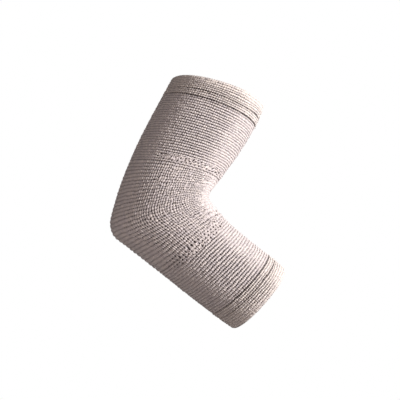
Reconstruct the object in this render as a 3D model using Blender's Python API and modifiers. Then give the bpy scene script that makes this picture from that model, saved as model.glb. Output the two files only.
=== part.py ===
"""A knitted elbow brace, bent and filled out as when it is worn.

The brace is one elastic knitted tube with a roomy pouch at its bend and a doubled cuff at each end. Its
upper part leans to the top right, its lower part drops to the bottom right, and the tip of the pouch
points to the left. X runs from the tip of the bend to its crease, Z is up, and the brace bends in the
plane Y = 0, which it is the same on both sides of. The origin is the centre of the bend, where the axes
of the upper and the lower part meet.

Each knitted zone is a wall of its own between two rows of the knitting. All of them lie on one surface,
an oval tube spread between an outer line, over the tip of the bend, and an inner line, over its crease.
Lengths are in metres.
"""

import math
from collections import namedtuple

import bmesh
import bpy
from mathutils import Vector

# How the brace is bent
UPPER_LEAN = math.radians(27.9)  # the upper part's axis, from the vertical
LOWER_DIP = math.radians(40.2)  # the lower part's axis, below the horizontal

# Where the brace ends, from the centre of the bend along each axis
UPPER_REACH = 0.133
LOWER_REACH = 0.137
TOP_SKEW = 0.0196  # the bend pulls the outer side of the top edge down by this much

# Front to back and side to side, over the knitting
TOP_DEPTH = 0.095
TOP_BREADTH = 0.088
BEND_BREADTH = 0.084
LOW_DEPTH = 0.0785
LOW_BREADTH = 0.070

# The corners of the outer and inner line at the bend, from its centre
TIP_BACK = 0.0542
TIP_DROP = 0.0171
TIP_RADIUS = 0.020
CREASE_FORWARD = 0.0498
CREASE_RISE = 0.0019
CREASE_RADIUS = 0.0060

# How far the sides swell (or, if negative, hollow) at a third and two thirds of their length
UPPER_OUTER_SWELL = (0.0068, 0.0124)
UPPER_INNER_SWELL = (0.0081, 0.0037)
LOWER_OUTER_SWELL = (-0.0021, 0.0028)
LOWER_INNER_SWELL = (-0.0100, 0.0006)

# The cuffs, from the edge, and the pouch, from the tip and from the crease, along the two lines
UPPER_CUFF_OUTER = 0.0202
UPPER_CUFF_INNER = 0.0230
LOWER_CUFF_OUTER = 0.0254
LOWER_CUFF_INNER = 0.0220
POUCH_ABOVE_TIP = 0.0734
POUCH_BELOW_TIP = 0.0635
POUCH_ABOVE_CREASE = 0.0187
POUCH_BELOW_CREASE = 0.0165
LOWER_SEAM_SAG = 0.0055  # the lower seam hangs this much lower between the crease and the sides

# The knitting
TUBE_WALL = 0.0014
CUFF_WALL = 0.0024  # the cuff is folded back on itself
CUFF_STEP = 0.0004  # how far the cuff stands out from the tube
CUFF_ROUNDING = 0.0007
SEAM_GAP = 0.0003

# How finely the walls are drawn
POINTS_AROUND = 40
CUFF_STEPS = 4
TUBE_STEPS = 8
POUCH_STEPS = 28
SIDE_STEPS = 48
CORNER_STEPS = 16

YARN_ROUGHNESS = 0.9
CUFF_COLOUR = (0.66, 0.56, 0.53, 1.0)
TUBE_COLOUR = (0.62, 0.53, 0.50, 1.0)
POUCH_COLOUR = (0.60, 0.52, 0.49, 1.0)

Row = namedtuple("Row", "outer inner sag")
# outer and inner are a row's places on the outer and the inner line, from the top edge.

Zone = namedtuple("Zone", "name steps wall lift rounding colour")

Section = namedtuple("Section", "along breadth taper")
# along is the share of the sleeve's length from the top edge, breadth is side to side there, and taper
# is the share by which the half towards the tip of the bend is narrower than the half at its crease.
SECTIONS = (
    Section(along=0.00, breadth=0.98 * TOP_BREADTH, taper=0.00),
    Section(along=0.12, breadth=1.00 * TOP_BREADTH, taper=0.00),
    Section(along=0.32, breadth=0.98 * BEND_BREADTH, taper=0.06),
    Section(along=0.50, breadth=1.00 * BEND_BREADTH, taper=0.22),
    Section(along=0.68, breadth=0.99 * BEND_BREADTH, taper=0.08),
    Section(along=0.88, breadth=1.07 * LOW_BREADTH, taper=0.00),
    Section(along=1.00, breadth=1.00 * LOW_BREADTH, taper=0.00),
)


def flat(x, z):
    """A point of the plane that the brace bends in."""
    return Vector((x, 0.0, z))


def turned(direction):
    """The direction a quarter turn anticlockwise, seen from the front."""
    return flat(-direction.z, direction.x)


UPPER_AXIS = flat(math.sin(UPPER_LEAN), math.cos(UPPER_LEAN))
LOWER_AXIS = flat(math.cos(LOWER_DIP), -math.sin(LOWER_DIP))
UPPER_OUTWARD = turned(UPPER_AXIS)
LOWER_OUTWARD = -turned(LOWER_AXIS)
FORWARD = (UPPER_AXIS + LOWER_AXIS).normalized()


def bezier(controls, steps):
    """Points of the cubic curve with the four given control points."""
    points = []
    for step in range(steps + 1):
        t = step / steps
        weights = ((1 - t) ** 3, 3 * t * (1 - t) ** 2, 3 * t * t * (1 - t), t ** 3)
        points.append(sum((weight * control for weight, control in zip(weights, controls)), Vector()))
    return points


def side(start, end, swell, outward):
    """Points of one side of the brace: a curve from start to end that swells by the two given heights."""
    third = (end - start) / 3
    handles = (start + third + outward * swell[0], end - third + outward * swell[1])
    return bezier((start, *handles, end), SIDE_STEPS)


def lengths_along(points):
    """The distance of each point from the first, along the line."""
    total = [0.0]
    for a, b in zip(points, points[1:]):
        total.append(total[-1] + (b - a).length)
    return total


def point_at(points, lengths, distance):
    """The point that lies the given distance along a line."""
    i = 1
    while i < len(points) - 1 and lengths[i] < distance:
        i += 1
    share = (distance - lengths[i - 1]) / (lengths[i] - lengths[i - 1])
    return points[i - 1].lerp(points[i], share)


def rounded(before, after, radius):
    """Two sides that meet in a corner, as one line with the corner rounded, and how far along that is."""
    arriving = (before[-1] - before[-2]).normalized()
    leaving = (after[1] - after[0]).normalized()
    half_turn = arriving.angle(leaving) / 2
    cut = radius * math.tan(half_turn)
    back = before[::-1]
    start = point_at(back, lengths_along(back), cut)
    end = point_at(after, lengths_along(after), cut)
    reach = 4 / 3 * radius * math.tan(half_turn / 2)
    corner = bezier((start, start + arriving * reach, end - leaving * reach, end), CORNER_STEPS)
    kept_before = [p for p in before if (p - before[-1]).length > cut * 1.02]
    kept_after = [p for p in after if (p - after[0]).length > cut * 1.02]
    line = kept_before + corner + kept_after
    return line, lengths_along(line)[len(kept_before) + CORNER_STEPS // 2]


def outer_line():
    """The line over the tip of the bend, from the top edge to the bottom one."""
    top = UPPER_AXIS * (UPPER_REACH - TOP_SKEW / 2) + UPPER_OUTWARD * TOP_DEPTH / 2
    tip = -FORWARD * TIP_BACK - turned(FORWARD) * TIP_DROP
    low = LOWER_AXIS * LOWER_REACH + LOWER_OUTWARD * LOW_DEPTH / 2
    upper = side(top, tip, UPPER_OUTER_SWELL, UPPER_OUTWARD)
    lower = side(tip, low, LOWER_OUTER_SWELL, LOWER_OUTWARD)
    return rounded(upper, lower, TIP_RADIUS)


def inner_line():
    """The line over the crease of the bend, from the top edge to the bottom one."""
    top = UPPER_AXIS * (UPPER_REACH + TOP_SKEW / 2) - UPPER_OUTWARD * TOP_DEPTH / 2
    crease = FORWARD * CREASE_FORWARD + turned(FORWARD) * CREASE_RISE
    low = LOWER_AXIS * LOWER_REACH - LOWER_OUTWARD * LOW_DEPTH / 2
    upper = side(top, crease, UPPER_INNER_SWELL, -UPPER_OUTWARD)
    lower = side(crease, low, LOWER_INNER_SWELL, -LOWER_OUTWARD)
    return rounded(upper, lower, CREASE_RADIUS)


OUTER, TIP_AT = outer_line()
INNER, CREASE_AT = inner_line()
OUTER_LENGTHS = lengths_along(OUTER)
INNER_LENGTHS = lengths_along(INNER)


def section_size(along):
    """Breadth and taper at a share of the sleeve's length, eased between the rows of the table."""
    for low, high in zip(SECTIONS, SECTIONS[1:]):
        if along <= high.along:
            break
    share = min(1.0, max(0.0, (along - low.along) / (high.along - low.along)))
    eased = share * share * (3 - 2 * share)
    breadth = low.breadth + (high.breadth - low.breadth) * eased
    return breadth, low.taper + (high.taper - low.taper) * eased


def sag_share(turn):
    """How much of a row's sag there is at a turn: none at the two lines, all of it between them."""
    return math.sin(turn) ** 2 * (1 - math.cos(turn)) * 27 / 32


def ring(row, lift):
    """The points of one row of the knitting, lifted off the tube's surface by the given height."""
    points = []
    for step in range(POINTS_AROUND):
        turn = 2 * math.pi * step / POINTS_AROUND
        shift = row.sag * sag_share(turn)
        back = point_at(OUTER, OUTER_LENGTHS, row.outer + shift)
        front = point_at(INNER, INNER_LENGTHS, row.inner + shift)
        half_depth = (back - front) / 2
        half_depth += half_depth.normalized() * lift
        breadth, taper = section_size((row.outer + shift) / OUTER_LENGTHS[-1])
        half_breadth = (breadth / 2 + lift) * (1 - taper * math.cos(turn))
        aside = Vector((0.0, half_breadth * math.sin(turn), 0.0))
        points.append((back + front) / 2 + half_depth * math.cos(turn) + aside)
    return points


def between(first, last, share):
    """The row that lies a share of the way from one row to another."""
    return Row(*(a + (b - a) * share for a, b in zip(first, last)))


def yarn(name, colour):
    """Cotton and elastane yarn, pinkish beige."""
    material = bpy.data.materials.new(name)
    material.use_nodes = True
    shader = material.node_tree.nodes["Principled BSDF"]
    shader.inputs["Base Color"].default_value = colour
    shader.inputs["Roughness"].default_value = YARN_ROUGHNESS
    shader.inputs["Metallic"].default_value = 0.0
    return material


def knitted_zone(zone, first, last, collection):
    """A wall of the given thickness between two rows, as an open surface made solid inwards."""
    mesh = bpy.data.meshes.new(zone.name)
    shape = bmesh.new()
    rings = []
    for step in range(zone.steps + 1):
        row = between(first, last, step / zone.steps)
        rings.append([shape.verts.new(p) for p in ring(row, zone.lift)])
    for above, below in zip(rings, rings[1:]):
        for i in range(POINTS_AROUND):
            j = (i + 1) % POINTS_AROUND
            shape.faces.new((above[i], above[j], below[j], below[i]))
    bmesh.ops.recalc_face_normals(shape, faces=shape.faces)
    shape.to_mesh(mesh)
    shape.free()
    mesh.shade_smooth()
    mesh.set_sharp_from_angle(angle=math.radians(40))
    mesh.materials.append(yarn(zone.name + "_knit", zone.colour))
    sleeve = bpy.data.objects.new(zone.name, mesh)
    collection.objects.link(sleeve)
    solid = sleeve.modifiers.new("wall", "SOLIDIFY")
    solid.thickness = zone.wall
    solid.offset = -1.0
    solid.use_even_offset = True
    if zone.rounding:
        fold = sleeve.modifiers.new("folded edge", "BEVEL")
        fold.width = zone.rounding
        fold.segments = 2
        fold.limit_method = "ANGLE"
        fold.angle_limit = math.radians(50)


def clear_scene():
    """Remove what the scene holds at the start."""
    for obj in list(bpy.data.objects):
        bpy.data.objects.remove(obj, do_unlink=True)


def main():
    """Knit the five zones between the rows where the cuffs and the pouch begin and end."""
    clear_scene()
    collection = bpy.data.collections.new("elbow_brace")
    bpy.context.scene.collection.children.link(collection)

    outer_end = OUTER_LENGTHS[-1]
    inner_end = INNER_LENGTHS[-1]
    rows = (
        Row(outer=0.0, inner=0.0, sag=0.0),
        Row(outer=UPPER_CUFF_OUTER, inner=UPPER_CUFF_INNER, sag=0.0),
        Row(outer=TIP_AT - POUCH_ABOVE_TIP, inner=CREASE_AT - POUCH_ABOVE_CREASE, sag=0.0),
        Row(outer=TIP_AT + POUCH_BELOW_TIP, inner=CREASE_AT + POUCH_BELOW_CREASE, sag=LOWER_SEAM_SAG),
        Row(outer=outer_end - LOWER_CUFF_OUTER, inner=inner_end - LOWER_CUFF_INNER, sag=0.0),
        Row(outer=outer_end, inner=inner_end, sag=0.0),
    )
    zones = (
        Zone("upper_cuff", CUFF_STEPS, CUFF_WALL, CUFF_STEP, CUFF_ROUNDING, CUFF_COLOUR),
        Zone("upper_arm_tube", TUBE_STEPS, TUBE_WALL, 0.0, 0.0, TUBE_COLOUR),
        Zone("elbow_pouch", POUCH_STEPS, TUBE_WALL, 0.0, 0.0, POUCH_COLOUR),
        Zone("forearm_tube", TUBE_STEPS, TUBE_WALL, 0.0, 0.0, TUBE_COLOUR),
        Zone("lower_cuff", CUFF_STEPS, CUFF_WALL, CUFF_STEP, CUFF_ROUNDING, CUFF_COLOUR),
    )
    for zone, first, last in zip(zones, rows, rows[1:]):
        if first is not rows[0]:
            first = Row(first.outer + SEAM_GAP / 2, first.inner + SEAM_GAP / 2, first.sag)
        if last is not rows[-1]:
            last = Row(last.outer - SEAM_GAP / 2, last.inner - SEAM_GAP / 2, last.sag)
        knitted_zone(zone, first, last, collection)


main()
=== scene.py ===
"""The looks of a knitted elbow brace, bent and filled out as when it is worn.

Every zone of the brace is knitted here row by row and stitch by stitch, on the oval tube that the solids
have: an outer line runs over the tip of the bend, an inner line over its crease, and each row of the
knitting goes round from one to the other. In the pouch the rows fan out, and towards the crease they
close up in pairs. Lengths are in metres.
"""

import math
from collections import namedtuple

import bpy
import numpy as np
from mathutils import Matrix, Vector


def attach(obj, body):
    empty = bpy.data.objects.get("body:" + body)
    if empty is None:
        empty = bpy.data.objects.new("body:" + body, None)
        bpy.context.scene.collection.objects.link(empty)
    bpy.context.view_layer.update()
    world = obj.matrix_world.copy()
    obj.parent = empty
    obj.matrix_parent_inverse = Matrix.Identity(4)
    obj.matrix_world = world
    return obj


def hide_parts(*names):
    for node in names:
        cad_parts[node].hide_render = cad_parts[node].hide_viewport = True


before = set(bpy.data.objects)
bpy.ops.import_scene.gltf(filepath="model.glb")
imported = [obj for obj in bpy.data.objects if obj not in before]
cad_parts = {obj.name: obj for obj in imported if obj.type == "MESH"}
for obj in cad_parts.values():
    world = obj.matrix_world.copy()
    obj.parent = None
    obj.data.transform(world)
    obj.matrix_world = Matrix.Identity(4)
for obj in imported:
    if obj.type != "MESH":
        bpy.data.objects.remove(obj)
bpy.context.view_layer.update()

# How the brace is bent, and how far its upper and lower part reach
UPPER_LEAN = math.radians(27.9)
LOWER_DIP = math.radians(40.2)
UPPER_REACH = 0.133
LOWER_REACH = 0.137
TOP_SKEW = 0.0196

# Front to back and side to side
TOP_DEPTH = 0.095
TOP_BREADTH = 0.088
BEND_BREADTH = 0.084
LOW_DEPTH = 0.0785
LOW_BREADTH = 0.070

# The corners of the outer and inner line, and how far the sides swell or hollow
TIP_BACK = 0.0542
TIP_DROP = 0.0171
TIP_RADIUS = 0.020
CREASE_FORWARD = 0.0498
CREASE_RISE = 0.0019
CREASE_RADIUS = 0.0060
UPPER_OUTER_SWELL = (0.0068, 0.0124)
UPPER_INNER_SWELL = (0.0081, 0.0037)
LOWER_OUTER_SWELL = (-0.0021, 0.0028)
LOWER_INNER_SWELL = (-0.0100, 0.0006)

# The cuffs and the pouch, along the two lines
UPPER_CUFF_OUTER = 0.0202
UPPER_CUFF_INNER = 0.0230
LOWER_CUFF_OUTER = 0.0254
LOWER_CUFF_INNER = 0.0220
POUCH_ABOVE_TIP = 0.0734
POUCH_BELOW_TIP = 0.0635
POUCH_ABOVE_CREASE = 0.0187
POUCH_BELOW_CREASE = 0.0165
LOWER_SEAM_SAG = 0.0055

# The knitting
WALES = 126  # stitches round the brace
TUBE_WALL = 0.0014
CUFF_WALL = 0.0024
CUFF_STEP = 0.0004
KNIT_DEPTH = 0.0011  # from the surface of the solid down into the hole beside a stitch
BEAD_HEIGHT = 0.0003  # from the surface of the solid up to the crest of a stitch
OPEN_BEAD = 1.2  # how much higher the crests round an open stitch stand
GROOVE_REACH = 0.30  # share of a row, from the bottom of the groove beside it to its crest
FURROW_REACH = 0.36  # share of a stitch, from the furrow beside it to its crest
FURROW_PARTS = 2.5  # how quickly a furrow parts the crest, as it gets stronger
DEEPEST = 1.1  # the most that groove, furrow and hole come to together, as a share of the knitting's depth
STITCH_UNEVEN = 0.00016  # how far most stitches stand in or out by chance
MOST_UNEVEN = 2  # how many times as far one may stand in or out
ROW_WAVE = 0.00022  # how far a row bows over each stitch
ROW_WANDER = 0.00030  # how far a row wanders along the brace
HELD_ROWS = 2  # how many rows from the end of a zone they are free to wander

# How strongly the grooves between rows, the furrows between stitches and the holes where they cross show:
# how deep they are cut, and how much painted shade darkens them in the colour
STRETCHED = (0.32, 0.07, 0.30)  # over the outer side, where the knitting is pulled flat
PLUMP = (0.78, 0.14, 1.70)  # over the sides
SOFT = (0.33, 0.07, 0.40)  # over the inner side
FANNED = (0.34, 0.31, 1.05)  # in the middle of the pouch's fan
CLOSED = (0.11, 0.04, 0.07)  # at the crease, where the rows are packed
EYELETS = (0.42, 0.14, 2.90)  # along a line of eyelets
BESIDE_SEAM = (0.22, 0.12, 2.60)  # beside a seam, where every other stitch is open
OPENNESS = (0.15, 1.60)  # the least and the most that chance multiplies a hole by
SEAM_EVENNESS = 0.5  # how much more alike the open stitches beside a seam are than those elsewhere
SEAM_OPENING = 0.5  # how much wider the open stitches beside a seam are, if an eyelet has 1
EYELETS_PULLED = 0.4  # how much of an eyelet is left where the knitting is pulled flat
TIGHT_EDGE = 0.35  # how much of the grooves and furrows is left at a cuff's folded edge
TIGHT_ROWS = (0.5, 4.0)  # between how many rows from the edge the rest comes in

# Round the brace from the outer side, in radians: where something begins and where there is all of it
PLUMP_TURNS = np.radians((35, 85))
SOFT_TURNS = np.radians((92, 122))
FANNED_TURNS = np.radians((25, 65))
CLOSED_TURNS = np.radians((112, 145))
PAIRED_TURNS = np.radians((120, 136))  # the pouch's rows close up in pairs
AHEAD_TURNS = np.radians((75, 180))  # the rows beside the lower seam run ahead of it
SEAM_TURNS = (0.55, 1.35)  # the stitches beside a seam open up, and the yarn round them stands proud
LOOSE_TURNS = (0.90, 1.30)  # the pouch's rows and stitches lie less evenly
PAIR_STAGGER = 0.25  # the most by which a pair of rows closes up sooner or later than most
LOWER_SEAM_ROUND = 0.38  # how much further round the lower seam's open stitches reach

# How the rows and stitches lie
SAG_FADE = 2  # how quickly the sag of the lower seam is lost beside it
ROWS_AHEAD = 0.0105  # how much further along the inner side the rows beside the lower seam run than it
INNER_BUNCH = 0.55  # share by which the pouch's rows lie closer in the crease, and wider apart beside it
UNEVEN_KNIT = 0.06  # share of a row or stitch by which each lies off its place
UNEVEN_POUCH = 0.20  # the same in the pouch's fan
UNEVEN_SEAM = 0.38  # and beside a seam
WANDER_SIZE = (3, 12)  # rows and stitches from one bow of a wandering row to the next
ROW_CHANCE_SIZE = (1.2, 1.5)  # rows and stitches from one chance shift of a row to the next
STITCH_CHANCE_SIZE = (1.5, 1.2)  # the same for a stitch

# The cotton
CUFF_CREST = "#FAEEE9"
TUBE_CREST = "#F2E6E5"
# Painted shade: the colour that the crest colour darkens to, down in a groove or hole
PAINTED_HOLLOW_SHADE = "#4A3F40"  # down in a groove or hole
STITCH_TINTS = ("#E9E7E8", "#FFFDF8")
FUZZ_SIZE = 1 / 900  # about 1.1 mm, which is coarser than the real hairs, so that it shows
FUZZ_TINTS = (0.88, 1.12)
STRANDS_PER_STITCH = 6.0  # side by side over a stitch
STRANDS_PER_ROW = 2.0
STRAND_RELIEF = 0.08  # share of the bump's height
BUMP_HEIGHT = 0.0009

# How finely it is drawn
LINE_STEPS = 400
CORNER_STEPS = 96
CORNER_CLEAR = 1.02  # how far the sides' points keep from a corner, if its curve begins at 1
SAMPLES_PER_ROW = 5
SAMPLES_PER_STITCH = 4
FOLD_STEPS = 6
SMALL_STEP = 1e-4  # along the brace in metres, or round it in radians, to find which way the surface runs

SEED = 7

Row = namedtuple("Row", "outer inner sag")
# outer and inner are a row's places on the outer and the inner line, from the top edge, and sag is how far
# it hangs towards the lower cuff between them.

Section = namedtuple("Section", "along breadth taper")
# along is the share of the sleeve's length from the top edge, breadth is side to side there, and taper
# is the share by which the half towards the tip of the bend is narrower than the half at its crease.
SECTIONS = (
    Section(along=0.00, breadth=0.98 * TOP_BREADTH, taper=0.00),
    Section(along=0.12, breadth=1.00 * TOP_BREADTH, taper=0.00),
    Section(along=0.32, breadth=0.98 * BEND_BREADTH, taper=0.06),
    Section(along=0.50, breadth=1.00 * BEND_BREADTH, taper=0.22),
    Section(along=0.68, breadth=0.99 * BEND_BREADTH, taper=0.08),
    Section(along=0.88, breadth=1.07 * LOW_BREADTH, taper=0.00),
    Section(along=1.00, breadth=1.00 * LOW_BREADTH, taper=0.00),
)

# What a zone has from wall to spread, where nothing else is said
PLAIN_TUBE = (TUBE_WALL, 0.0, (False, False), (), (0, 0), 0.0)
# What the doubled knitting of a cuff has instead
DOUBLED = {"wall": CUFF_WALL, "lift": CUFF_STEP}

Zone = namedtuple("Zone", "name slot courses wall lift folds eyelets loose spread", defaults=PLAIN_TUBE)
# name and slot are those of its solid, and courses is how many rows of knitting it has. wall is its
# thickness, and lift how far it stands out from the solid. folds says whether its first and its last row
# is a folded edge. eyelets are the rows that start with a line of open stitches, and loose gives how far
# from its start and its end every other stitch is open, as beside a seam. spread is the share by which its
# last rows are further apart than its middle ones, and is above 0 only in the pouch, whose rows fan out.
ZONES = (
    Zone("upper_cuff", "upper_cuff_knit", courses=9, **DOUBLED, folds=(True, False), eyelets=(6, 9)),
    Zone("upper_arm_tube", "upper_arm_knit", courses=27, eyelets=(0,), loose=(0, 0.009)),
    Zone("elbow_pouch", "pouch_knit", courses=31, loose=(0.002, 0.0058), spread=0.12),
    Zone("forearm_tube", "forearm_knit", courses=21, eyelets=(21,), loose=(0.0058, 0)),
    Zone("lower_cuff", "lower_cuff_knit", courses=9, **DOUBLED, folds=(False, True), eyelets=(0, 3)),
)


def flat(x, z):
    """A point of the plane that the brace bends in."""
    return np.array((x, 0.0, z))


def turned(direction):
    """The direction a quarter turn anticlockwise, seen from the front."""
    return flat(-direction[2], direction[0])


def unit(vectors):
    """The vectors at length one."""
    return vectors / np.linalg.norm(vectors, axis=-1, keepdims=True)


UPPER_AXIS = flat(math.sin(UPPER_LEAN), math.cos(UPPER_LEAN))
LOWER_AXIS = flat(math.cos(LOWER_DIP), -math.sin(LOWER_DIP))
UPPER_OUTWARD = turned(UPPER_AXIS)
LOWER_OUTWARD = -turned(LOWER_AXIS)
FORWARD = unit(UPPER_AXIS + LOWER_AXIS)


def bezier(controls, steps):
    """Points of the cubic curve with the four given control points."""
    t = np.linspace(0, 1, steps + 1)[:, None]
    weights = ((1 - t) ** 3, 3 * t * (1 - t) ** 2, 3 * t * t * (1 - t), t**3)
    return sum(weight * control for weight, control in zip(weights, controls))


def side(start, end, swell, outward):
    """Points of one side of the brace: a curve from start to end that swells by the two given heights."""
    third = (end - start) / 3
    handles = (start + third + outward * swell[0], end - third + outward * swell[1])
    return bezier((start, *handles, end), LINE_STEPS)


def lengths_along(points):
    """The distance of each point from the first, along the line."""
    return np.concatenate(([0.0], np.cumsum(np.linalg.norm(np.diff(points, axis=0), axis=1))))


def point_at(line, distance):
    """The points that lie the given distances along a line."""
    points, lengths = line
    x = np.interp(distance, lengths, points[:, 0])
    z = np.interp(distance, lengths, points[:, 2])
    return np.stack((x, np.zeros_like(x), z), axis=-1)


def rounded(before, after, radius):
    """Two sides that meet in a rounded corner, as one line with its lengths, and the corner's place."""
    arriving = unit(before[-1] - before[-2])
    leaving = unit(after[1] - after[0])
    half_turn = math.acos(arriving @ leaving) / 2
    cut = radius * math.tan(half_turn)
    back = before[::-1]
    start = point_at((back, lengths_along(back)), cut)
    end = point_at((after, lengths_along(after)), cut)
    reach = 4 / 3 * radius * math.tan(half_turn / 2)
    corner = bezier((start, start + arriving * reach, end - leaving * reach, end), CORNER_STEPS)
    kept_before = before[np.linalg.norm(before - before[-1], axis=1) > cut * CORNER_CLEAR]
    kept_after = after[np.linalg.norm(after - after[0], axis=1) > cut * CORNER_CLEAR]
    points = np.vstack((kept_before, corner, kept_after))
    lengths = lengths_along(points)
    return (points, lengths), lengths[len(kept_before) + CORNER_STEPS // 2]


def outer_line():
    """The line over the tip of the bend, from the top edge to the bottom one."""
    top = UPPER_AXIS * (UPPER_REACH - TOP_SKEW / 2) + UPPER_OUTWARD * TOP_DEPTH / 2
    tip = -FORWARD * TIP_BACK - turned(FORWARD) * TIP_DROP
    low = LOWER_AXIS * LOWER_REACH + LOWER_OUTWARD * LOW_DEPTH / 2
    upper = side(top, tip, UPPER_OUTER_SWELL, UPPER_OUTWARD)
    lower = side(tip, low, LOWER_OUTER_SWELL, LOWER_OUTWARD)
    return rounded(upper, lower, TIP_RADIUS)


def inner_line():
    """The line over the crease of the bend, from the top edge to the bottom one."""
    top = UPPER_AXIS * (UPPER_REACH + TOP_SKEW / 2) - UPPER_OUTWARD * TOP_DEPTH / 2
    crease = FORWARD * CREASE_FORWARD + turned(FORWARD) * CREASE_RISE
    low = LOWER_AXIS * LOWER_REACH - LOWER_OUTWARD * LOW_DEPTH / 2
    upper = side(top, crease, UPPER_INNER_SWELL, -UPPER_OUTWARD)
    lower = side(crease, low, LOWER_INNER_SWELL, -LOWER_OUTWARD)
    return rounded(upper, lower, CREASE_RADIUS)


OUTER, TIP_AT = outer_line()
INNER, CREASE_AT = inner_line()
OUTER_END = OUTER[1][-1]
INNER_END = INNER[1][-1]

# The rows where the zones begin and end
ROWS = (
    Row(outer=0.0, inner=0.0, sag=0.0),
    Row(outer=UPPER_CUFF_OUTER, inner=UPPER_CUFF_INNER, sag=0.0),
    Row(outer=TIP_AT - POUCH_ABOVE_TIP, inner=CREASE_AT - POUCH_ABOVE_CREASE, sag=0.0),
    Row(outer=TIP_AT + POUCH_BELOW_TIP, inner=CREASE_AT + POUCH_BELOW_CREASE, sag=LOWER_SEAM_SAG),
    Row(outer=OUTER_END - LOWER_CUFF_OUTER, inner=INNER_END - LOWER_CUFF_INNER, sag=0.0),
    Row(outer=OUTER_END, inner=INNER_END, sag=0.0),
)


def section_size(along):
    """Breadth and taper at shares of the sleeve's length, eased between the rows of the table."""
    places = np.array([section.along for section in SECTIONS])
    low = np.clip(np.searchsorted(places, along) - 1, 0, len(SECTIONS) - 2)
    share = np.clip((along - places[low]) / (places[low + 1] - places[low]), 0, 1)
    eased = share * share * (3 - 2 * share)
    sizes = []
    for column in ("breadth", "taper"):
        values = np.array([getattr(section, column) for section in SECTIONS])
        sizes.append(values[low] + (values[low + 1] - values[low]) * eased)
    return sizes


def sag_share(turn):
    """How much of a row's sag there is at a turn: none at the two lines, all of it between them."""
    # The product is 32/27 at its greatest, 109 degrees round from the outer side
    return np.sin(turn) ** 2 * (1 - np.cos(turn)) * 27 / 32


def surface(outer, inner, turn):
    """Points of the oval tube, on the row through the given places and at the given turn round it."""
    back = point_at(OUTER, outer)
    front = point_at(INNER, inner)
    half_depth = (back - front) / 2
    breadth, taper = section_size(outer / OUTER_END)
    points = (back + front) / 2 + half_depth * np.cos(turn)[..., None]
    points[..., 1] = breadth / 2 * (1 - taper * np.cos(turn)) * np.sin(turn)
    return points


def smooth_noise(rng, rows, columns, row_size, column_size):
    """Soft noise of about unit size on a grid that closes round its columns."""
    coarse_rows = max(2, round(rows / row_size) + 2)
    coarse_columns = max(3, round(columns / column_size))
    coarse = rng.standard_normal((coarse_rows, coarse_columns))
    # Just short of the last coarse row, so that each point has one after it
    at_row = np.linspace(0, coarse_rows - 1.001, rows)
    at_column = np.linspace(0, coarse_columns, columns, endpoint=False)
    i, j = at_row.astype(int), at_column.astype(int)
    a = ((1 - np.cos((at_row - i) * math.pi)) / 2)[:, None]
    b = ((1 - np.cos((at_column - j) * math.pi)) / 2)[None, :]
    k = (j + 1) % coarse_columns
    above = coarse[i][:, j] * (1 - b) + coarse[i][:, k] * b
    below = coarse[i + 1][:, j] * (1 - b) + coarse[i + 1][:, k] * b
    return above * (1 - a) + below * a


def ease(values, low, high):
    """Zero below low, one above high, and a soft step between them."""
    share = np.clip((values - low) / (high - low), 0, 1)
    return share * share * (3 - 2 * share)


Net = namedtuple("Net", "course wale turn from_tip hold")
# course and wale are the row and stitch numbers of the net's points, turn is how far round the tube they
# are, and from_tip how far from its outer side. hold is 0 for the rows at the zone's two ends, which stay
# where the solids have them, and 1 for those that are free to wander.

LaidRows = namedtuple("LaidRows", "outer inner sag by_lower_seam")
# outer and inner are the rows' places on the two lines, sag how far each point hangs below them, and
# by_lower_seam how near the lower seam is, from 0 to 1.


def by_chance(table, row, stitch):
    """The entries of a table of chances for rows and stitches of any number."""
    i = np.round(row).astype(int) % table.shape[0]
    j = np.round(stitch).astype(int) % table.shape[1]
    return table[i, j]


def even_net(zone):
    """The points that a zone is drawn with, while its rows and stitches are still in their places."""
    course = np.linspace(0, zone.courses, zone.courses * SAMPLES_PER_ROW + 1)[:, None]
    wale = (np.arange(WALES * SAMPLES_PER_STITCH) / SAMPLES_PER_STITCH)[None, :]
    turn = 2 * math.pi * wale / WALES
    from_tip = np.minimum(turn, 2 * math.pi - turn)
    hold = np.minimum(1, np.minimum(course, zone.courses - course) / HELD_ROWS)
    return Net(course, wale, turn, from_tip, hold)


def chance_over(net, rng, size):
    """Soft noise over the net, with the given numbers of rows and stitches from one bump to the next."""
    rows, stitches = size
    shape = (net.course.size, net.wale.size)
    return smooth_noise(rng, *shape, rows * SAMPLES_PER_ROW, stitches * SAMPLES_PER_STITCH)


def laid_rows(zone, first, last, net, rng):
    """The places of the zone's rows on the outer and the inner line, for each point of the net."""
    share = net.course / zone.courses
    share = share - zone.spread * share * (1 - share)
    bunched = share + INNER_BUNCH * np.sin(2 * math.pi * share) / (2 * math.pi) * (zone.spread > 0)
    wander = ROW_WANDER * chance_over(net, rng, WANDER_SIZE)
    shift = (wander + ROW_WAVE * np.sin(2 * math.pi * net.wale)) * net.hold
    # Only the rows near the lower seam sag with it
    sag = (first.sag * (1 - share) ** SAG_FADE + last.sag * share**SAG_FADE) * sag_share(net.turn)
    narrowing = (last.inner - first.inner) / (last.outer - first.outer)
    outer = first.outer + (last.outer - first.outer) * share + sag + shift
    inner = first.inner + (last.inner - first.inner) * bunched + sag + shift * narrowing
    by_lower_seam = (first.sag * (1 - share) + last.sag * share * share) / LOWER_SEAM_SAG
    return LaidRows(outer, inner, sag, by_lower_seam)


def on_the_tube(net, rows):
    """The net's points on the oval tube, with their outward normals and small steps down the tube."""
    turns = np.broadcast_to(net.turn, rows.outer.shape)
    points = surface(rows.outer, rows.inner, turns)
    round_it = surface(rows.outer, rows.inner, turns + SMALL_STEP) - points
    # At the bottom edge the step is taken upwards and turned round
    step = np.where(rows.outer < OUTER_END - 2 * SMALL_STEP, SMALL_STEP, -SMALL_STEP)
    stepped = surface(rows.outer + step, rows.inner + step, turns)
    down_it = (stepped - points) * np.sign(step)[..., None]
    return points, unit(np.cross(round_it, down_it)), down_it


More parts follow.
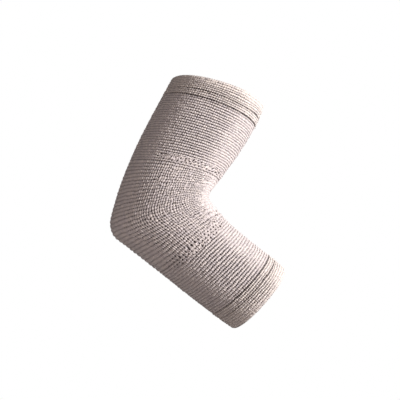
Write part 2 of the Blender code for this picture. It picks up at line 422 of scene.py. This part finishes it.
def uneven_knitting(zone, net, rows, rng):
    """The row and stitch numbers that really lie at the net's points, and how much each is beside a seam."""
    outer_share = (1 + np.cos(net.turn)) / 2
    place = (rows.outer - rows.sag) * outer_share + (rows.inner - rows.sag) * (1 - outer_share)
    at_start, at_end = zone.loose
    near = (place - place[0] < at_start) | (place[-1] - place < at_end)
    # Beside the lower seam the open stitches come further round to the outer side
    beside_seam = near * ease(net.from_tip + LOWER_SEAM_ROUND * rows.by_lower_seam, *SEAM_TURNS)

    # The lower seam sags, but the rows beside it run on straight, so it cuts across them
    ahead = ROWS_AHEAD * rows.by_lower_seam * ease(net.from_tip, *AHEAD_TURNS)
    pitch = np.gradient(place, net.course[:, 0], axis=0)
    in_fan = (zone.spread > 0) * ease(net.from_tip, *LOOSE_TURNS)
    uneven = UNEVEN_KNIT + (UNEVEN_POUCH - UNEVEN_KNIT) * in_fan
    uneven = (uneven + (UNEVEN_SEAM - uneven) * beside_seam) * net.hold
    course = net.course + (rows.sag - ahead) / pitch + uneven * chance_over(net, rng, ROW_CHANCE_SIZE)
    wale = net.wale + uneven * chance_over(net, rng, STITCH_CHANCE_SIZE)
    return course, wale, beside_seam


def closing(zone, course, from_tip, rng):
    """How far the rows of the pouch have closed up in pairs, from 0 to 1."""
    if not zone.spread:
        return np.zeros(course.shape)
    # Each pair closes up at a turn of its own, so the change is spread over a band
    stagger = rng.uniform(-PAIR_STAGGER, PAIR_STAGGER, (zone.courses, 1))
    by_pair = by_chance(stagger, np.floor(course / 2), 0)
    return ease(from_tip + by_pair, *PAIRED_TURNS)


def strengths(zone, course, wale, from_tip, beside_seam, rng):
    """How strongly the grooves, the furrows and the holes show at each point, in depth and in painted shade,
    and how wide they are.
    """
    looks = [(PLUMP, PLUMP_TURNS), (SOFT, SOFT_TURNS)]
    if zone.spread:
        looks += [(FANNED, FANNED_TURNS), (CLOSED, CLOSED_TURNS)]
    shown = np.broadcast_to(STRETCHED, (*course.shape, 3))
    for look, turns in looks:
        shown = shown + (np.array(look) - shown) * ease(from_tip, *turns)[..., None]
    for folded, rows_away in zip(zone.folds, (course, zone.courses - course)):
        if folded:
            shown = shown * (TIGHT_EDGE + (1 - TIGHT_EDGE) * ease(rows_away, *TIGHT_ROWS))[..., None]

    row = np.round(course).astype(int)
    stitch = np.round(wale).astype(int)
    wide = np.isin(row, zone.eyelets).astype(float)
    left = EYELETS_PULLED + (1 - EYELETS_PULLED) * ease(from_tip, *PLUMP_TURNS)[..., None]
    shown = shown + (np.array(EYELETS) * left - shown) * wide[..., None]
    open_stitch = np.broadcast_to(BESIDE_SEAM, shown.shape).copy()
    open_stitch[..., 2] *= (row + stitch) % 2
    shown = shown + (open_stitch - shown) * beside_seam[..., None]
    openness = by_chance(rng.uniform(*OPENNESS, (zone.courses + 1, WALES)), row, stitch)
    shown[..., 2] *= openness + (1 - openness) * SEAM_EVENNESS * beside_seam
    return shown, np.maximum(wide, SEAM_OPENING * beside_seam)


def widened(number, wide):
    """Row or stitch numbers, changed where wide is 1 so that what lies at a whole number looks wider."""
    whole = np.round(number)
    off = number - whole
    return whole + off + (2 * off * np.abs(off) - off) * wide


def off_whole(number):
    """How far a row or stitch number is from the nearest whole one, where the groove or furrow lies."""
    return np.abs(number - np.round(number))


def relief(zone, course, wale, from_tip, beside_seam, rng):
    """How high the knitting stands at each point, and the six numbers that its material goes by."""
    pairs = closing(zone, course, from_tip, rng)
    shown, wide = strengths(zone, course, wale, from_tip, beside_seam, rng)
    row_number = widened(course, wide)
    stitch_number = widened(wale, wide)
    across = off_whole(row_number) * (1 - pairs) + off_whole(row_number / 2) * pairs
    groove = 1 - ease(across, 0, GROOVE_REACH)
    furrow = 1 - ease(off_whole(stitch_number), 0, FURROW_REACH)
    depth = groove * shown[..., 0] + furrow * shown[..., 1] + groove * furrow * shown[..., 2]

    chance = rng.standard_normal((zone.courses, WALES))
    by_stitch = by_chance(chance, np.floor(course), np.floor(wale))
    bead = BEAD_HEIGHT + STITCH_UNEVEN * np.clip(by_stitch, -MOST_UNEVEN, MOST_UNEVEN)
    parted = furrow * np.clip(FURROW_PARTS * shown[..., 1], 0, 1)
    bead = bead * (1 - groove) * (1 - parted)
    # Round an open stitch the yarn stands proud, but not where the brace is pulled flat
    bead = bead * (1 + OPEN_BEAD * wide * ease(from_tip, *SEAM_TURNS))
    height = bead - KNIT_DEPTH * np.clip(depth, 0, DEEPEST)
    fields = (stitch_number, row_number, shown[..., 0], shown[..., 1], pairs, shown[..., 2])
    return height, np.stack(fields, axis=-1)


# The turns of a folded edge's rings, from one face of the cuff to the other
FOLD_ANGLES = np.linspace(0, math.pi, FOLD_STEPS + 2)[1:-1]


def folded_numbers(numbers, half_row):
    """The numbers of a folded edge's rings, which are half a row out from the last row and back."""
    rings = np.repeat(numbers[None], FOLD_STEPS, axis=0)
    rings[..., 1] += half_row * np.sin(FOLD_ANGLES)[:, None]
    return rings


def folded_edge(start, end, onward):
    """The rings of a folded edge, a half round that leaves start and comes back to end."""
    centre = (start + end) / 2
    spoke = start - centre
    reach = unit(onward) * np.linalg.norm(spoke, axis=-1, keepdims=True)
    return np.stack([centre + spoke * math.cos(angle) + reach * math.sin(angle) for angle in FOLD_ANGLES])


def knitted_rings(zone, first, last):
    """The rings of points that the zone's shell is made of, with the six numbers of each point."""
    rng = np.random.default_rng(SEED + len(zone.name))
    net = even_net(zone)
    rows = laid_rows(zone, first, last, net, rng)
    points, normals, down_it = on_the_tube(net, rows)
    course, wale, beside_seam = uneven_knitting(zone, net, rows, rng)
    height, numbers = relief(zone, course, wale, net.from_tip, beside_seam, rng)
    level = points + normals * zone.lift
    outside = level + normals * height[..., None]
    inside = level - normals * zone.wall

    rings = [outside]
    ring_numbers = [numbers]
    if zone.folds[1]:
        rings.append(folded_edge(outside[-1], inside[-1], down_it[-1]))
        ring_numbers.append(folded_numbers(numbers[-1], 0.5))
    # The inside is smoother, so a ring for each row is enough
    rings.append(inside[::-SAMPLES_PER_ROW])
    ring_numbers.append(numbers[::-SAMPLES_PER_ROW])
    if zone.folds[0]:
        rings.append(folded_edge(inside[0], outside[0], -down_it[0]))
        ring_numbers.append(folded_numbers(numbers[0], -0.5))
    return np.concatenate(rings), np.concatenate(ring_numbers)


def knitted_shell(zone, rings, numbers):
    """A closed mesh through the rings, with its stitch and row numbers as UV maps."""
    count, columns = rings.shape[:2]
    ring, column = np.meshgrid(np.arange(count), np.arange(columns), indexing="ij")
    next_ring = (ring + 1) % count
    next_column = (column + 1) % columns
    corners = np.stack(
        (
            ring * columns + column,
            ring * columns + next_column,
            next_ring * columns + next_column,
            next_ring * columns + column,
        ),
        axis=-1,
    ).reshape(-1, 4)

    mesh = bpy.data.meshes.new(zone.name + "_knitting")
    mesh.vertices.add(count * columns)
    mesh.vertices.foreach_set("co", rings.reshape(-1))
    mesh.loops.add(corners.size)
    mesh.loops.foreach_set("vertex_index", corners.reshape(-1))
    mesh.polygons.add(len(corners))
    mesh.polygons.foreach_set("loop_start", np.arange(0, corners.size, 4))
    mesh.update(calc_edges=True)

    by_corner = numbers.reshape(-1, numbers.shape[-1])[corners]
    # The last face of a ring runs on to stitch number WALES, where the first stitch starts again
    last_column = np.repeat(column.reshape(-1) == columns - 1, 2).reshape(-1, 2)
    by_corner[:, 1:3, 0] += WALES * last_column
    for place, name in enumerate(("stitches", "ribbing", "looseness")):
        pair = by_corner[..., 2 * place : 2 * place + 2]
        mesh.uv_layers.new(name=name).uv.foreach_set("vector", pair.reshape(-1))
    mesh.shade_smooth()
    mesh.validate()

    piece = bpy.data.objects.new(zone.name + "_knitting", mesh)
    bpy.context.scene.collection.objects.link(piece)
    return piece


def linear(code):
    """A colour given as an sRGB hex code, as Blender's linear one."""
    values = [int(code[i : i + 2], 16) / 255 for i in (1, 3, 5)]
    return (*(v / 12.92 if v <= 0.04045 else ((v + 0.055) / 1.055) ** 2.4 for v in values), 1.0)


def node(tree, kind, settings=None, links=None):
    """Adds a shader node, sets its own values and its sockets', and links sockets to it.

    A socket goes by its number where the node has several of one name. In a Mix node 0 is the share, 2 and
    3 are the two numbers, and 6 and 7 the two colours. In a MapRange node 1 and 2 are the range that comes
    in, and 3 and 4 the range that goes out.
    """
    made = tree.nodes.new("ShaderNode" + kind)
    for key, value in (settings or {}).items():
        if isinstance(key, str) and hasattr(made, key):
            setattr(made, key, value)
        else:
            made.inputs[key].default_value = value
    for socket, source in (links or {}).items():
        tree.links.new(source, made.inputs[socket])
    return made


Pattern = namedtuple("Pattern", "stitches course along dark")
# stitches holds the stitch and the row number at a point, and course the row number alone. along is 0 in
# the furrow beside a stitch and 0.5 on its crest, and dark is how deep the point lies, from 0 to 1, which
# sets the bump and the painted shade in the colour.


def knitted_pattern(tree):
    """Finds where a point lies in its row and stitch, and how deep in a groove, furrow or hole."""
    stitches = node(tree, "UVMap", {"uv_map": "stitches"}).outputs[0]
    place = node(tree, "SeparateXYZ", links={0: stitches})
    ribbing = node(tree, "UVMap", {"uv_map": "ribbing"}).outputs[0]
    ribs = node(tree, "SeparateXYZ", links={0: ribbing})
    looseness = node(tree, "UVMap", {"uv_map": "looseness"}).outputs[0]
    loose = node(tree, "SeparateXYZ", links={0: looseness})
    wale, course = place.outputs[0], place.outputs[1]

    # 0 in the groove or furrow and 0.5 on the crest
    alone = node(tree, "Math", {"operation": "PINGPONG", 1: 0.5}, {0: course}).outputs[0]
    two_rows = node(tree, "Math", {"operation": "PINGPONG", 1: 1.0}, {0: course}).outputs[0]
    paired = node(tree, "Math", {"operation": "MULTIPLY", 1: 0.5}, {0: two_rows}).outputs[0]
    across = node(tree, "Mix", {"data_type": "FLOAT"}, {0: loose.outputs[0], 2: alone, 3: paired}).outputs[0]
    along = node(tree, "Math", {"operation": "PINGPONG", 1: 0.5}, {0: wale}).outputs[0]

    # The groove between rows, the furrow between stitches and the hole where they cross: each is 1 in its
    # middle and 0 from its reach on
    fall = {"interpolation_type": "SMOOTHSTEP", 1: 0.0, 3: 1.0, 4: 0.0}
    groove = node(tree, "MapRange", {**fall, 2: GROOVE_REACH}, {0: across}).outputs[0]
    furrow = node(tree, "MapRange", {**fall, 2: FURROW_REACH}, {0: along}).outputs[0]
    hole = node(tree, "Math", {"operation": "MULTIPLY"}, {0: groove, 1: furrow}).outputs[0]
    forms = node(tree, "CombineXYZ", links={0: groove, 1: furrow, 2: hole}).outputs[0]
    shown_links = {0: ribs.outputs[0], 1: ribs.outputs[1], 2: loose.outputs[1]}
    shown = node(tree, "CombineXYZ", links=shown_links).outputs[0]
    depth = node(tree, "VectorMath", {"operation": "DOT_PRODUCT"}, {0: forms, 1: shown}).outputs["Value"]
    dark = node(tree, "Math", {"operation": "MINIMUM", 1: 1.0}, {0: depth}).outputs[0]
    return Pattern(stitches, course, along, dark)


def cotton_colour(tree, pattern, crest):
    """Pale on the crests and darkened by painted shade in the grooves and holes, with every stitch a little
    different, and fuzzy.
    """
    own_stitch = node(tree, "VectorMath", {"operation": "FLOOR"}, {0: pattern.stitches}).outputs[0]
    chance = node(tree, "TexWhiteNoise", {"noise_dimensions": "2D"}, {"Vector": own_stitch}).outputs["Value"]
    tints = {"data_type": "RGBA", 6: linear(STITCH_TINTS[0]), 7: linear(STITCH_TINTS[1])}
    stitch_tint = node(tree, "Mix", tints, {0: chance}).outputs[2]
    place_on_it = node(tree, "TexCoord").outputs["Object"]
    fine = {"Scale": 1 / FUZZ_SIZE, "Detail": 2.0}
    fuzz = node(tree, "TexNoise", fine, {"Vector": place_on_it}).outputs["Fac"]
    fuzz_tint = node(tree, "MapRange", {3: FUZZ_TINTS[0], 4: FUZZ_TINTS[1]}, {0: fuzz}).outputs[0]
    multiply = {"data_type": "RGBA", "blend_type": "MULTIPLY", 0: 1.0}
    tint = node(tree, "Mix", multiply, {6: stitch_tint, 7: fuzz_tint}).outputs[2]
    # Painted shade: the deeper a point lies, the nearer its colour comes to the dark hollow one
    mix = {"data_type": "RGBA", 6: linear(crest), 7: linear(PAINTED_HOLLOW_SHADE)}
    colour = node(tree, "Mix", mix, {0: pattern.dark}).outputs[2]
    return node(tree, "Mix", multiply, {6: colour, 7: tint}).outputs[2]


def fine_relief(tree, pattern):
    """The bump: the grooves and holes, and the cotton strands that the two legs of a stitch are made of.

    The strands are 0.4 mm thick and slant towards the middle of the stitch.
    """
    over_stitch = {"operation": "MULTIPLY", 1: STRANDS_PER_STITCH}
    slant = node(tree, "Math", over_stitch, {0: pattern.along}).outputs[0]
    down_row = {"operation": "MULTIPLY_ADD", 1: STRANDS_PER_ROW}
    strand = node(tree, "Math", down_row, {0: pattern.course, 2: slant}).outputs[0]
    turns = node(tree, "Math", {"operation": "MULTIPLY", 1: 2 * math.pi}, {0: strand}).outputs[0]
    wave = node(tree, "Math", {"operation": "SINE"}, {0: turns}).outputs[0]
    strand_lift = node(tree, "Math", {"operation": "MULTIPLY", 1: STRAND_RELIEF}, {0: wave}).outputs[0]
    lift = node(tree, "Math", {"operation": "SUBTRACT"}, {0: strand_lift, 1: pattern.dark}).outputs[0]
    return node(tree, "Bump", {"Strength": 1.0, "Distance": BUMP_HEIGHT}, {"Height": lift}).outputs[0]


def knitted_cotton(name, crest):
    """Covered elastic knitted with matte cotton: soft, dry and pale on the crests, shaded in the grooves.

    The rows lie 2.2 to 4.9 mm apart, and closer in the crease, and the stitches are 1.9 to 2.4 mm wide.
    Both come from the row and stitch numbers that the mesh carries. A groove and the hole between two
    stitches are darker by painted shade in the colour, and the hairs of the cotton give a faint sheen
    at the edges.
    """
    material = bpy.data.materials.new(name)
    material.use_nodes = True
    tree = material.node_tree
    shader = tree.nodes["Principled BSDF"]
    pattern = knitted_pattern(tree)
    tree.links.new(cotton_colour(tree, pattern, crest), shader.inputs["Base Color"])
    tree.links.new(fine_relief(tree, pattern), shader.inputs["Normal"])
    shader.inputs["Roughness"].default_value = 0.88
    shader.inputs["Sheen Weight"].default_value = 0.25
    shader.inputs["Sheen Roughness"].default_value = 0.5
    shader.inputs["Specular IOR Level"].default_value = 0.3
    return material


def brace():
    """Knits the five zones, each on its solid's place."""
    for zone, first, last in zip(ZONES, ROWS, ROWS[1:]):
        rings, numbers = knitted_rings(zone, first, last)
        piece = knitted_shell(zone, rings, numbers)
        crest = CUFF_CREST if zone.lift else TUBE_CREST
        piece.data.materials.append(knitted_cotton(zone.name + "_cotton", crest))
        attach(piece, "root")
        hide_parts(zone.name)


# The camera stands this far off and looks at this point, so that a millimetre there is a pixel
CAMERA_AWAY = 1.2
CAMERA_AZIMUTH = math.radians(-17.3)
CAMERA_RISE = math.radians(-7.7)
CAMERA_AIM = flat(0.0435, 0.0084)
PICTURE_WIDTH = 0.4
SENSOR = 36.0

FLOOR_DROP = 0.45
FLOOR_RADIUS = 0.8
AMBIENT = 0.11


def aimed(obj, place, aim):
    """Puts a light or camera at a place and points it at another."""
    obj.location = place
    obj.rotation_euler = Vector(np.asarray(aim) - np.asarray(place)).to_track_quat("-Z", "Y").to_euler()


def camera():
    """A long lens from the photograph's side."""
    data = bpy.data.cameras.new("camera")
    data.sensor_width = SENSOR
    data.lens = SENSOR * CAMERA_AWAY / PICTURE_WIDTH
    obj = bpy.data.objects.new("camera", data)
    bpy.context.scene.collection.objects.link(obj)
    direction = np.array(
        (
            math.sin(CAMERA_AZIMUTH) * math.cos(CAMERA_RISE),
            -math.cos(CAMERA_AZIMUTH) * math.cos(CAMERA_RISE),
            math.sin(CAMERA_RISE),
        )
    )
    aimed(obj, CAMERA_AIM + direction * CAMERA_AWAY, CAMERA_AIM)
    bpy.context.scene.camera = obj


def soft_light(name, place, size, power, colour="#FFFFFF"):
    """A square soft box that faces the brace."""
    data = bpy.data.lights.new(name, "AREA")
    data.shape = "SQUARE"
    data.size = size
    data.energy = power
    data.color = linear(colour)[:3]
    obj = bpy.data.objects.new(name, data)
    bpy.context.scene.collection.objects.link(obj)
    aimed(obj, place, CAMERA_AIM)


def pale_floor():
    """A round pale table top under the brace."""
    material = bpy.data.materials.new("pale_floor")
    material.use_nodes = True
    shader = material.node_tree.nodes["Principled BSDF"]
    shader.inputs["Base Color"].default_value = linear("#F2F2F2")
    shader.inputs["Roughness"].default_value = 0.9
    shader.inputs["Emission Color"].default_value = linear("#FFFFFF")
    shader.inputs["Emission Strength"].default_value = 0.4
    below = (0, 0, -FLOOR_DROP)
    bpy.ops.mesh.primitive_circle_add(vertices=96, radius=FLOOR_RADIUS, fill_type="NGON", location=below)
    floor = bpy.context.object
    floor.name = "floor"
    floor.data.materials.append(material)
    # The floor throws no light up at the brace, whose underside is dim
    floor.visible_diffuse = False


def daylight():
    """White all round where the camera looks, and a softer, dimmer white as light."""
    world = bpy.data.worlds.new("daylight")
    world.use_nodes = True
    tree = world.node_tree
    path = node(tree, "LightPath")
    seen = path.outputs["Is Camera Ray"]
    strength = node(tree, "MapRange", {3: AMBIENT, 4: 1.0}, {0: seen})
    background = tree.nodes["Background"]
    background.inputs["Color"].default_value = linear("#FFFFFF")
    tree.links.new(strength.outputs[0], background.inputs["Strength"])
    bpy.context.scene.world = world
    bpy.context.scene.view_settings.view_transform = "Standard"


brace()
camera()
pale_floor()
daylight()
soft_light("key", place=(0.98, -0.73, 0.28), size=0.5, power=26.8)
soft_light("fill", place=(-0.40, -0.85, -0.20), size=0.5, power=2.6, colour="#FFEFEA")
soft_light("far_side", place=(0.20, 1.15, 0.45), size=0.6, power=20.0, colour="#FFF4EF")

bpy.context.view_layer.update()
